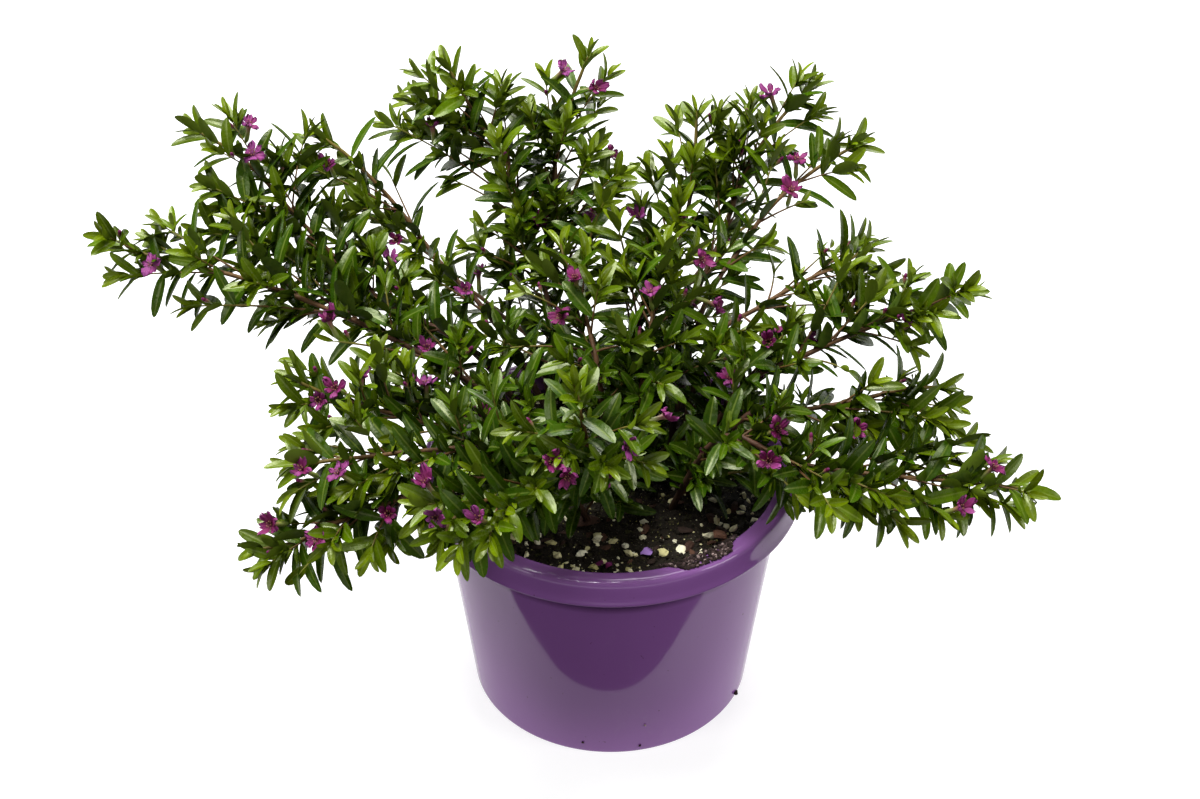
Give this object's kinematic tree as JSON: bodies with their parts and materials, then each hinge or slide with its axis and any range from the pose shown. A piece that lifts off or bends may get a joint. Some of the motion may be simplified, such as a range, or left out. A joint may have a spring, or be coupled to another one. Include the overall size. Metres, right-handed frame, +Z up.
{
  "type": "potted mexican heather",
  "caption": "Bushy small-leaved flowering shrub with six-petalled magenta blooms, growing in a round purple nursery pot.",
  "frame": {"origin": "middle of the pot's foot, on the surface that it stands on", "axes": "+Z up the pot's axis, +X along the plant's widest spread, -Y towards the side with the open view of the mix"},
  "size_m": [0.3336, 0.2226, 0.2166],
  "materials": {
    "pot_plastic": "gloss",
    "potting_mix": "loose damp bark and peat mix with pale perlite grains",
    "foliage": "waxy leaves, green to yellow-green at the tips, on red-brown to green stems",
    "petals": "thin crinkled matt petals"
  },
  "bodies": {
    "root": {"bloom_back_1": "petals", "bloom_back_2": "petals", "bloom_back_left_1": "petals", "bloom_centre_1": "petals", "bloom_centre_2": "petals", "bloom_centre_front_1": "petals", "bloom_centre_front_2": "petals", "bloom_centre_right_1": "petals", "bloom_centre_right_2": "petals", "bloom_front_1": "petals", "bloom_front_2": "petals", "bloom_front_left_1": "petals", "bloom_front_left_2": "petals", "bloom_left_front_1": "petals", "bloom_left_front_2": "petals", "bloom_left_high_1": "petals", "bloom_left_high_2": "petals", "bloom_left_low_1": "petals", "bloom_left_low_2": "petals", "bloom_left_mid_1": "petals", "bloom_left_mid_2": "petals", "bloom_right_1": "petals", "bloom_right_2": "petals", "bloom_right_front_1": "petals", "bloom_right_front_2": "petals", "bloom_right_high_1": "petals", "bloom_right_high_2": "petals", "bloom_right_low_1": "petals", "bloom_right_mid_1": "petals", "bloom_top_1": "petals", "bloom_top_2": "petals", "bloom_top_left_1": "petals", "bloom_top_left_2": "petals", "bloom_top_right_1": "petals", "bloom_up_left_1": "petals", "bloom_up_left_2": "petals", "bloom_up_right_1": "petals", "pot": "pot_plastic", "soil": "potting_mix", "stem_back": "foliage", "stem_back_left": "foliage", "stem_centre": "foliage", "stem_centre_front": "foliage", "stem_centre_right": "foliage", "stem_front": "foliage", "stem_front_left": "foliage", "stem_left_front": "foliage", "stem_left_high": "foliage", "stem_left_low": "foliage", "stem_left_mid": "foliage", "stem_right": "foliage", "stem_right_front": "foliage", "stem_right_high": "foliage", "stem_right_low": "foliage", "stem_right_mid": "foliage", "stem_top": "foliage", "stem_top_left": "foliage", "stem_top_right": "foliage", "stem_up_left": "foliage", "stem_up_right": "foliage"}
  },
  "joints": []
}
